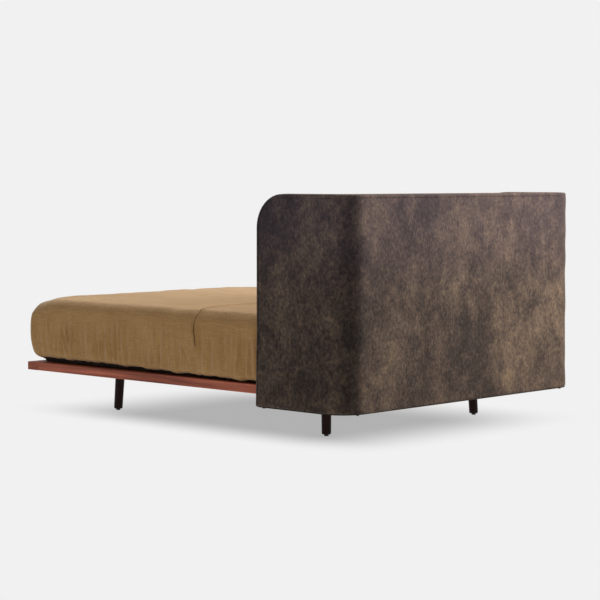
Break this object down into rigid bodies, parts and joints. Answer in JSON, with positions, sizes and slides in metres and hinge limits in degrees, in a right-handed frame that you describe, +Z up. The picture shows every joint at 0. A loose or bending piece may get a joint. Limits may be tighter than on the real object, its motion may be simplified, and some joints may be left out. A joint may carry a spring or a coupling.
{
  "type": "double bed with wrap-around headboard",
  "caption": "Double bed with a thin walnut platform on splayed round legs, a velvet headboard that wraps round the head end as short wings, and a mattress in linen bedding.",
  "frame": {"origin": "on the floor at the centre of the bed's footprint", "axes": "+Z up, +Y towards the headboard, +X across to the sleeper's left when lying on the back"},
  "size_m": [1.58, 2.11, 1.022],
  "materials": {
    "walnut": "satin oiled, red-brown",
    "leg_wood": "dark stained, satin",
    "slat_wood": "sanded, unfinished",
    "headboard_wood": "sanded plywood",
    "black_steel": "powder coated, matt",
    "zinc_steel": "zinc plated",
    "glide_plastic": "moulded, matt",
    "foam": "open-cell foam and wadding",
    "velvet": "crushed velvet",
    "dust_cloth": "non-woven",
    "mattress_ticking": "woven ticking",
    "linen": "plain woven linen"
  },
  "bodies": {
    "frame": {"bearer_front": "black_steel", "bearer_rear": "black_steel", "bracket_bolts": "zinc_steel", "centre_beam_foot": "black_steel", "centre_beam_head": "black_steel", "centre_beam_middle": "black_steel", "foot_rail": "walnut", "glide_front_left": "glide_plastic", "glide_front_right": "glide_plastic", "glide_rear_left": "glide_plastic", "glide_rear_right": "glide_plastic", "head_rail": "walnut", "headboard_border": "velvet", "headboard_brackets": "black_steel", "headboard_core_back": "headboard_wood", "headboard_core_corner_left": "headboard_wood", "headboard_core_corner_right": "headboard_wood", "headboard_core_wing_left": "headboard_wood", "headboard_core_wing_right": "headboard_wood", "headboard_cover_inner": "velvet", "headboard_cover_outer": "velvet", "headboard_dust_cover": "dust_cloth", "headboard_glides": "glide_plastic", "headboard_pad_back": "foam", "headboard_pad_corner_left": "foam", "headboard_pad_corner_right": "foam", "headboard_pad_wing_left": "foam", "headboard_pad_wing_right": "foam", "headboard_wadding": "foam", "joint_plate_screws": "zinc_steel", "joint_plates": "black_steel", "leg_bolts": "zinc_steel", "leg_front_left": "leg_wood", "leg_front_right": "leg_wood", "leg_plates": "black_steel", "leg_rear_left": "leg_wood", "leg_rear_right": "leg_wood", "rail_dowels": "slat_wood", "side_rail_left": "walnut", "side_rail_right": "walnut", "slat_01": "slat_wood", "slat_02": "slat_wood", "slat_03": "slat_wood", "slat_04": "slat_wood", "slat_05": "slat_wood", "slat_06": "slat_wood", "slat_07": "slat_wood", "slat_08": "slat_wood", "slat_09": "slat_wood", "slat_10": "slat_wood", "slat_11": "slat_wood", "slat_12": "slat_wood", "slat_13": "slat_wood", "slat_14": "slat_wood", "slat_ledger_left": "slat_wood", "slat_ledger_right": "slat_wood", "slat_screws": "zinc_steel"},
    "bedding": {"mattress": "mattress_ticking", "fitted_sheet": "linen", "top_sheet": "linen"}
  },
  "joints": [
    {"name": "mattress_lift", "type": "slide", "parent": "frame", "child": "bedding", "axis": [0, 0, 1], "range_m": [0, 0.83]}
  ]
}
